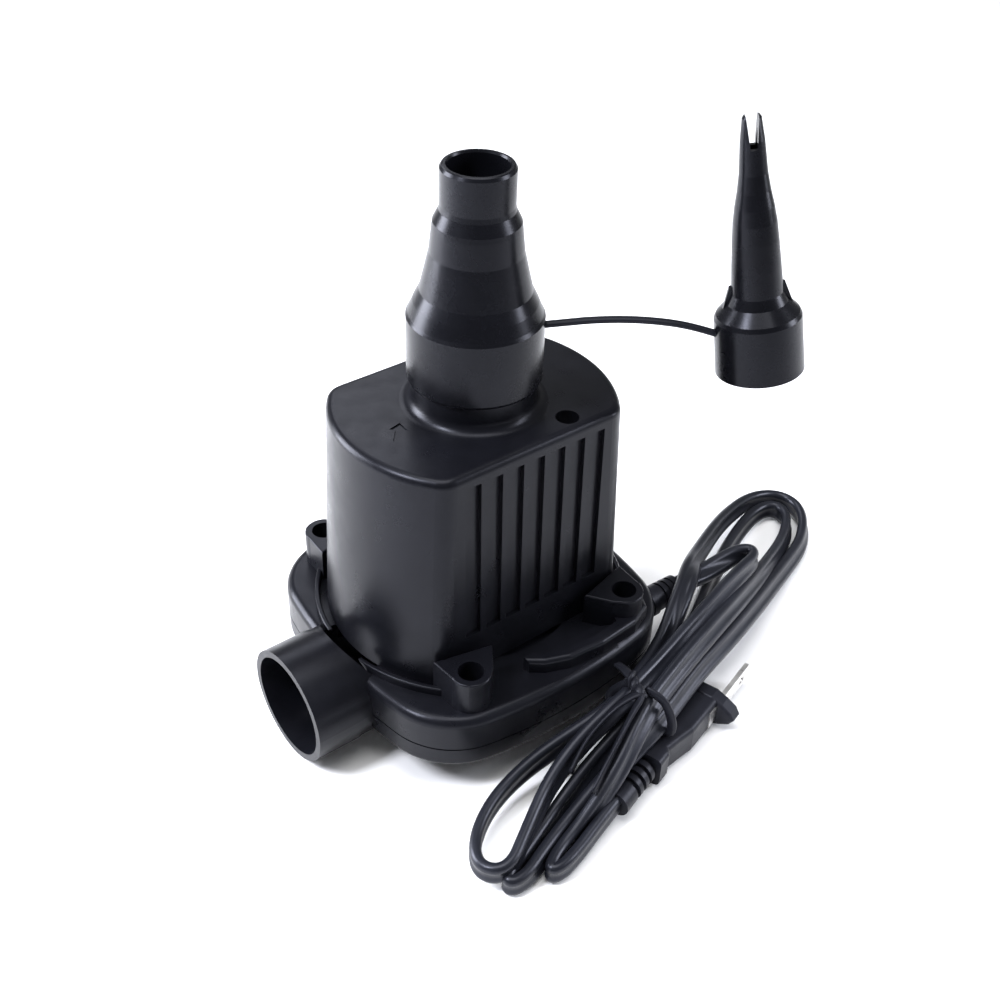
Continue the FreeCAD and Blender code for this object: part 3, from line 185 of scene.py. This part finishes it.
def metal(name, dark, light, low, high, stretch=(1, 1, 30), depth=0.000006):
    """Drawn or stamped metal with fine marks along one direction."""
    m = Nodes(name)
    marks, patch = m.noise(260, 3, 0.6, stretch), m.noise(45, 3)
    m.tint(patch, dark, light)
    m.roughen(marks, low, high)
    m.bump((marks, depth))
    m.shader.inputs["Metallic"].default_value = 1.0
    return m.material


def banded(name, dark, light, scale, direction, metallic, low, high, depth):
    """Stacked sheets, wound wire or cut segments: fine bands across the surface."""
    m = Nodes(name)
    bands, patch = m.wave(scale, direction, 0.3), m.noise(120, 3)
    m.tint(bands, dark, light, 0.1, 0.6)
    m.roughen(patch, low, high)
    m.bump((bands, depth))
    m.shader.inputs["Metallic"].default_value = metallic
    return m.material


MATERIALS = {
    "black_shell": plastic(
        "shell_plastic", (0.0026, 0.0027, 0.0038), (0.0048, 0.0050, 0.0070), 0.26, 0.36
    ),
    "black_nozzle": plastic(
        "nozzle_plastic", (0.0022, 0.0023, 0.0032), (0.0042, 0.0044, 0.0060), 0.22, 0.31, 3200,
        0.000006
    ),
    "soft_black": plastic(
        "flexible_vinyl", (0.0060, 0.0064, 0.0088), (0.0105, 0.0110, 0.0150), 0.34, 0.48, 1500,
        0.00002
    ),
    "white_plastic": plastic(
        "natural_plastic", (0.62, 0.61, 0.56), (0.72, 0.70, 0.65), 0.32, 0.44, level=0.5
    ),
    "carbon": plastic(
        "pressed_carbon", (0.012, 0.012, 0.012), (0.03, 0.03, 0.031), 0.5, 0.7, 2400, 0.00004
    ),
    "steel": metal("bright_steel", (0.50, 0.51, 0.52), (0.64, 0.64, 0.65), 0.2, 0.36),
    "blade_metal": metal(
        "plated_blade", (0.74, 0.73, 0.71), (0.86, 0.85, 0.83), 0.24, 0.42, (1, 1, 14)
    ),
    "brass": metal("stamped_brass", (0.66, 0.48, 0.20), (0.80, 0.62, 0.30), 0.22, 0.36),
    "bronze": metal(
        "sintered_bronze", (0.36, 0.24, 0.12), (0.55, 0.40, 0.22), 0.4, 0.58, (1, 1, 1), 0.00003
    ),
    "lamination": banded(
        "stacked_steel", (0.16, 0.17, 0.18), (0.42, 0.43, 0.45), 310, "Z", 0.85, 0.35, 0.5, 0.00005
    ),
    "copper": banded(
        "enamelled_wire", (0.34, 0.11, 0.03), (0.78, 0.34, 0.13), 520, "Z", 0.75, 0.2, 0.32,
        0.00012
    ),
    "commutator_copper": banded(
        "copper_segments", (0.3, 0.14, 0.07), (0.84, 0.46, 0.26), 240, "X", 0.9, 0.2, 0.3, 0.00006
    ),
}


def cord_material():
    """Extruded vinyl jacket: a slight orange-peel, a fine grain and patches in the gloss."""
    m = Nodes("cord_vinyl")
    peel, patch = m.noise(420, 3, 0.6), m.noise(55, 4)
    m.tint(m.noise(40, 3), (0.0066, 0.0072, 0.0100), (0.0125, 0.0135, 0.0185))
    m.roughen(patch, 0.28, 0.42)
    m.bump((peel, 0.00003), (m.noise(2300, 2), 0.00001))
    m.shader.inputs["Specular IOR Level"].default_value = 0.3
    m.shader.inputs["Specular Tint"].default_value = COOL_GLINT
    return m.material


MATERIALS["cord_jacket"] = cord_material()


def dress(obj, material):
    obj.data.materials.clear()
    obj.data.materials.append(material)


for subpart in frame["record"]["subparts"]:
    dress(nodes[subpart["node"]], MATERIALS[subpart["material_slot"]])

# --------------------------------------------------------------------------------------------
# Routes


HANK_END = (-46.0, -75.0)
HANK_TURN = math.radians(15.3)


def hank_point(u, w, z):
    """A point of the hank in metres: u along it from its lower left end, w towards the pump."""
    x = HANK_END[0] + u * math.cos(HANK_TURN) - w * math.sin(HANK_TURN)
    y = HANK_END[1] + u * math.sin(HANK_TURN) + w * math.cos(HANK_TURN)
    return Vector((x, y, z)) * MM


def smooth_line(name, points, steps=6):
    """The points that Blender's own NURBS spline of a route runs through."""
    data = bpy.data.curves.new(name, "CURVE")
    data.dimensions = "3D"
    data.resolution_u = steps
    spline = data.splines.new("NURBS")
    spline.points.add(len(points) - 1)
    for made, point in zip(spline.points, points):
        made.co = (*point, 1)
    spline.order_u = 3
    spline.use_endpoint_u = True
    holder = bpy.data.objects.new(name, data)
    scene.collection.objects.link(holder)
    bpy.context.view_layer.update()
    mesh = bpy.data.meshes.new_from_object(holder)
    line = [v.co.copy() for v in mesh.vertices]
    bpy.data.objects.remove(holder)
    return line


def sweep(name, line, wide, outline):
    """A closed mesh that carries an outline along a line. wide is each point's own first axis."""
    mesh = bmesh.new()
    rings = []
    last = len(line) - 1
    for i, at in enumerate(line):
        along = (line[min(i + 1, last)] - line[max(i - 1, 0)]).normalized()
        first = wide[i] - along * wide[i].dot(along)
        first.normalize()
        second = along.cross(first)
        rings.append([mesh.verts.new(at + first * a + second * b) for a, b in outline])
    for one, two in zip(rings, rings[1:]):
        for k in range(len(one)):
            j = (k + 1) % len(one)
            mesh.faces.new((one[k], one[j], two[j], two[k]))
    mesh.faces.new(rings[0][::-1])
    mesh.faces.new(rings[-1])
    bmesh.ops.recalc_face_normals(mesh, faces=mesh.faces)
    data = bpy.data.meshes.new(name)
    mesh.to_mesh(data)
    mesh.free()
    data.polygons.foreach_set("use_smooth", [True] * len(data.polygons))
    obj = bpy.data.objects.new(name, data)
    scene.collection.objects.link(obj)
    return obj


def twin_section(half_wide, half_thick, waist):
    """A flat twin cord's outline: two round lobes with a groove between them."""
    lobe = half_wide - half_thick
    turns = [math.radians(a) for a in range(-130, 131, 20)]
    right = [(lobe + half_thick * math.cos(a), half_thick * math.sin(a)) for a in turns]
    left = [(-a, -b) for a, b in right]
    return right + [(0, waist)] + left + [(0, -waist)]


# --------------------------------------------------------------------------------------------
# The mains cord: u, w and z in mm, as in hank_point, and the lean of its wide side from upright
# in degrees

CORD_ROUTE = [
    # out of the boot, under the outer loop and round
    (111.5, 15.3, 18.4, 88), (116.5, 13.9, 18.4, 88), (122, 12.2, 18.2, 86),
    (129, 9.9, 17.9, 74), (137, 8.2, 17.8, 50), (144.5, 6.4, 17.8, 20), (148.6, 3.0, 17.9, 0),
    (145.5, -0.4, 18.4, 8), (136, -0.6, 19.6, 28), (123, -1.2, 21.0, 42), (110, -2.0, 22.1, 48),
    (96, -2.5, 22.8, 46), (80, -2.8, 22.8, 38), (63, -2.6, 22.6, 40),
    # down to the open loop at the lower left
    (53, -1.2, 21.2, 34), (43, 0.8, 18.2, 26), (33, 1.9, 14.4, 20), (24, 1.4, 11.4, 15),
    (15, -0.6, 9.6, 10), (6.7, -2.7, 8.6, 4), (0.5, -4.3, 7.8, 0), (-4.2, -3.0, 7.2, 0),
    (-5.8, 1.6, 6.6, 0), (-3.4, 6.2, 6.4, 0), (3.0, 10.2, 6.6, 0), (12, 12.6, 7.2, 0),
    (21, 12.8, 8.2, 2), (30, 11.4, 9.8, 8), (38, 8.8, 11.8, 16), (46, 5.8, 13.4, 25),
    (54, 2.8, 15.4, 32), (63, 1.0, 16.2, 35),
    # outer loop at the upper right
    (76, 1.8, 16.6, 35), (88, 3.0, 17.8, 40), (97, 4.6, 20.0, 52), (105, 6.8, 22.0, 74),
    (113, 9.0, 23.1, 88), (120, 11.4, 22.5, 86), (127, 13.9, 20.6, 55), (135, 16.5, 17.2, 34),
    (145, 18.8, 14.8, 26), (156, 21.0, 12.6, 22), (166, 22.6, 10.4, 20), (176, 23.3, 8.4, 18),
    (185, 23.0, 7.0, 14), (192.5, 21.5, 5.4, 8), (198.2, 18.2, 4.2, 2), (200.4, 13.6, 3.7, 0),
    (199.2, 8.2, 3.7, 4), (194.6, 3.2, 3.7, 12), (188, -0.6, 3.7, 20), (180, -3.3, 3.8, 26),
    (170, -4.6, 4.6, 30), (160, -5.6, 5.8, 33), (150, -6.6, 7.4, 35), (137, -8.1, 9.8, 37),
    (124, -9.4, 12.2, 38), (110, -10.4, 14.4, 39), (99, -10.7, 15.6, 39),
    (88.5, -10.8, 16.2, 39), (75, -11.6, 16.3, 35), (63, -12.3, 16.0, 35),
    # second loop at the lower left
    (52, -10.9, 13.2, 30), (42, -9.2, 10.0, 24), (30, -7.9, 6.4, 20), (18, -7.4, 4.2, 16),
    (9, -7.8, 3.9, 10), (2.6, -8.4, 3.8, 5), (-2.6, -7.2, 3.7, 0), (-3.4, -4.8, 3.8, 0),
    (1.0, -4.2, 3.9, 8), (8, -3.9, 3.9, 14), (17, -3.0, 4.0, 18), (28, -2.4, 5.6, 20),
    (39, -2.8, 9.0, 24), (50, -4.2, 12.8, 28), (63, -5.6, 16.2, 35),
    # middle loop at the upper right
    (80, -4.2, 16.4, 37), (95, -1.8, 16.0, 36), (108, 1.6, 14.8, 32), (122, 6.0, 12.6, 28),
    (134, 9.6, 10.2, 24), (146, 12.6, 8.0, 22), (157, 15.2, 6.2, 20), (168, 17.2, 5.0, 18),
    (178, 18.3, 4.3, 14), (186, 18.2, 4.0, 8), (191.6, 16.2, 4.0, 2), (193.4, 12.0, 4.0, 2),
    (189.8, 7.2, 4.1, 12), (182, 3.6, 4.6, 22), (173, 1.2, 5.8, 29), (162, -0.6, 8.0, 33),
    (150, -2.4, 11.0, 36), (135, -4.3, 14.8, 38), (120, -5.9, 18.4, 39), (105, -7.0, 21.0, 40),
    (90, -7.8, 22.3, 40), (76, -8.5, 22.6, 40), (63, -9.2, 22.3, 40),
    # down over the outer strand, a short fold, and into the plug
    (52, -10.8, 20.2, 36), (42, -12.2, 15.8, 26), (32, -12.0, 9.8, 14), (24, -10.9, 5.4, 5),
    (16, -10.5, 3.8, 0), (9.6, -11.2, 3.7, 0), (6.6, -12.6, 3.7, 0), (10.0, -14.6, 3.7, 0),
    (18, -14.8, 3.9, 0), (26, -14.6, 4.8, 0), (33, -14.6, 5.6, 0), (39.5, -14.5, 5.8, 0),
]
CORD_WIDE, CORD_THICK = 7.0 * MM, 3.5 * MM
CORD_WAIST = 1.42 * MM


def make_cord():
    line = smooth_line("cord_route", [hank_point(u, w, z) for u, w, z, lean in CORD_ROUTE])
    lean_points = [Vector((point[-1], 0, i)) for i, point in enumerate(CORD_ROUTE)]
    leans = smooth_line("cord_leans", lean_points)
    across = (hank_point(0, 1, 0) - hank_point(0, 0, 0)).normalized()
    wide = []
    for lean in leans:
        turn = math.radians(lean.x)
        wide.append(across * math.sin(turn) + Vector((0, 0, math.cos(turn))))
    outline = twin_section(CORD_WIDE / 2, CORD_THICK / 2, CORD_WAIST)
    cord = sweep("mains_cord", line, wide, outline)
    length = sum((b - a).length for a, b in zip(line, line[1:]))
    return cord, line, length


cord, cord_line, cord_length = make_cord()
dress(cord, MATERIALS["cord_jacket"])
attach(cord, "base")
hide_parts("cord_hank", "cord_lead")

# --------------------------------------------------------------------------------------------
# The twist tie


TIE_RIB, TIE_FIN = 1.05 * MM, 0.38 * MM
TIE_STRAND_GAP = 0.95 * MM
TIE_PLACE = 62.2
# each tail from its free end to the knot, and the short end out of the knot
TAIL_ONE = [(31, -2.0, 15.6), (36, -1.0, 17.6), (42, -0.6, 20.4), (48, -1.6, 23.6)]
TAIL_ONE += [(53, -3.6, 27.0), (57.4, -6.2, 29.0)]
TAIL_TWO = [(29.5, -10.6, 14.6), (37, -9.8, 18.6), (45, -9.0, 22.6), (52, -8.2, 26.0)]
TAIL_TWO += [(57.4, -8.0, 28.6)]
LOOSE_END = [(63.0, -0.6, 28.2), (64.6, 2.4, 28.0), (66.0, 5.6, 27.0)]


def tie_wire(name, points, turns=0.0):
    """A plastic-covered wire: a round rib with a thin fin along each side."""
    line = smooth_line(name + "_line", points, 8)
    wide, first = [], Vector((0, 0, 1))
    for i in range(len(line)):
        along = (line[min(i + 1, len(line) - 1)] - line[max(i - 1, 0)]).normalized()
        first = (first - along * first.dot(along)).normalized()
        turned = Matrix.Rotation(2 * math.pi * turns * i / len(line), 3, along) @ first
        wide.append(turned)
    half = [(1.35, TIE_FIN / TIE_RIB), (0.62, 0.45), (0, 0.74), (-0.62, 0.45)]
    half.append((-1.35, TIE_FIN / TIE_RIB))
    outline = [(a * TIE_RIB, b * TIE_RIB) for a, b in half]
    outline += [(-a, -b) for a, b in outline]
    return sweep(name, line, wide, outline)


def band_points():
    """Once round the waist, drawn tight at the corners."""
    corners = [(-6.6, 27.0), (-12.0, 26.6), (-15.0, 22.2), (-16.6, 17.0), (-15.8, 13.0)]
    corners += [(-11.0, 12.5), (-4.0, 12.7), (2.0, 12.9), (4.2, 15.6), (4.4, 19.4)]
    corners += [(1.6, 23.6), (-1.0, 26.8), (-4.4, 27.6)]
    return [hank_point(TIE_PLACE - 0.10 * (w + 6), w, z) for w, z in corners]


def twisted_pair(start, end, turns, apart):
    """Two strands wound round one another between two points."""
    axis = (end - start).normalized()
    side = axis.cross(Vector((0, 0, 1))).normalized()
    count = int(turns * 8)
    strands = []
    for phase in (0, math.pi):
        points = []
        for i in range(count + 1):
            turn = Matrix.Rotation(2 * math.pi * turns * i / count + phase, 3, axis)
            points.append(start.lerp(end, i / count) + turn @ side * apart)
        strands.append(points)
    return strands


def make_tie():
    """The band, two tails out of its twisted knot, and the short end past the knot."""
    knot_a, knot_b = hank_point(58.6, -7.4, 28.6), hank_point(62.8, -0.8, 28.6)
    one, two = twisted_pair(knot_a, knot_b, 1.5, TIE_STRAND_GAP)
    tail_one, tail_two, loose = (
        [hank_point(*point) for point in points] for points in (TAIL_ONE, TAIL_TWO, LOOSE_END)
    )
    pieces = [
        tie_wire("tie_band", band_points()),
        tie_wire("tie_twist_a", tail_one + one, 0.6),
        tie_wire("tie_twist_b", tail_two + two + loose, 0.8),
    ]
    bpy.ops.object.select_all(action="DESELECT")
    for piece in pieces:
        dress(piece, MATERIALS["soft_black"])
        piece.select_set(True)
    bpy.context.view_layer.objects.active = pieces[0]
    bpy.ops.object.join()
    tie = pieces[0]
    tie.name = "wire_tie"
    return tie


tie = make_tie()
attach(tie, "base")
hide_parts("twist_tie")

# --------------------------------------------------------------------------------------------
# The strap between the two nozzles: distances out and up in mm

STRAP_ANGLE = math.radians(-39.0)
STRAP_ROUTE = [(18.6, 125.4), (24, 126.2), (32, 127.4), (43, 128.0)]
STRAP_ROUTE += [(54, 127.3), (62, 125.6), (67.8, 123.8)]
STRAP_HALF_WIDE, STRAP_HALF_THICK, STRAP_WAIST = 1.25 * MM, 0.8 * MM, 0.62 * MM


def strap_point(out, z):
    """A point in metres, out along the strap's direction from the motor's axis."""
    return Vector((out * math.cos(STRAP_ANGLE), out * math.sin(STRAP_ANGLE), z)) * MM


def make_strap():
    """One flexible strap in place of the two CAD halves, with a groove along each flat."""
    line = smooth_line("strap_route", [strap_point(out, z) for out, z in STRAP_ROUTE], 10)
    flat = Vector((-math.sin(STRAP_ANGLE), math.cos(STRAP_ANGLE), 0))
    outline = twin_section(STRAP_HALF_WIDE, STRAP_HALF_THICK, STRAP_WAIST)
    strap = sweep("nozzle_strap", line, [flat] * len(line), outline)
    dress(strap, MATERIALS["soft_black"])
    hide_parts("tether_root", "tether_tail")
    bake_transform(strap)


make_strap()

# --------------------------------------------------------------------------------------------
# Floor and light

FLOOR_SIZE, FLOOR_HEIGHT = 12, -0.0003
COOL_LIGHT, WHITE_LIGHT = (0.90, 0.92, 1.0), (1, 1, 1)
LIGHT_TARGET = Vector((0.0, 0.0, 0.07))
LIGHTS = {
    # how far to the right of, away from and above the target, then size, power and colour
    "left_box": ((-0.72, 0.12, 0.20), (0.30, 0.5), 13, COOL_LIGHT),
    "key_box": ((-0.48496, -0.28, 0.68), (0.16, 0.26), 9, COOL_LIGHT),
    "right_box": ((0.80, 0.02, 0.34), (0.24, 0.46), 6, COOL_LIGHT),
    "back_box": ((-0.35, 0.95, 0.75), (0.6, 0.4), 3, COOL_LIGHT),
    "top_box": ((0, -0.05, 1.1), (0.8, 0.8), 11, WHITE_LIGHT),
}
WORLD_COLOUR, WORLD_STRENGTH = (0.96, 0.97, 1.0, 1), 0.25


def make_floor():
    bpy.ops.mesh.primitive_plane_add(size=FLOOR_SIZE, location=(0, 0, FLOOR_HEIGHT))
    floor = bpy.context.object
    floor.name = "floor"
    m = Nodes("pale_floor")
    m.tint(m.noise(6, 2), (0.90, 0.90, 0.90), (0.93, 0.93, 0.93))
    m.shader.inputs["Roughness"].default_value = 0.9
    m.shader.inputs["Specular IOR Level"].default_value = 0.1
    dress(floor, m.material)


def area_light(name, place, size, power, colour):
    """A soft box that faces the target."""
    data = bpy.data.lights.new(name, "AREA")
    data.shape = "RECTANGLE"
    data.size, data.size_y = size
    data.energy = power
    data.color = colour
    light = bpy.data.objects.new(name, data)
    scene.collection.objects.link(light)
    light.location = place
    light.rotation_euler = (LIGHT_TARGET - place).to_track_quat("-Z", "Y").to_euler()


def make_light():
    """Soft boxes placed about the camera's own right and forward, and a weak plain world."""
    right, _, forward = camera_axes()
    away = Vector((forward.x, forward.y, 0)).normalized()
    for name, (offset, size, power, colour) in LIGHTS.items():
        place = LIGHT_TARGET + right * offset[0] + away * offset[1] + Vector((0, 0, offset[2]))
        area_light(name, place, size, power, colour)
    world = bpy.data.worlds.new("studio")
    world.use_nodes = True
    background = world.node_tree.nodes["Background"]
    background.inputs["Color"].default_value = WORLD_COLOUR
    background.inputs["Strength"].default_value = WORLD_STRENGTH
    scene.view_settings.view_transform = "Standard"
    scene.world = world


make_floor()
make_light()
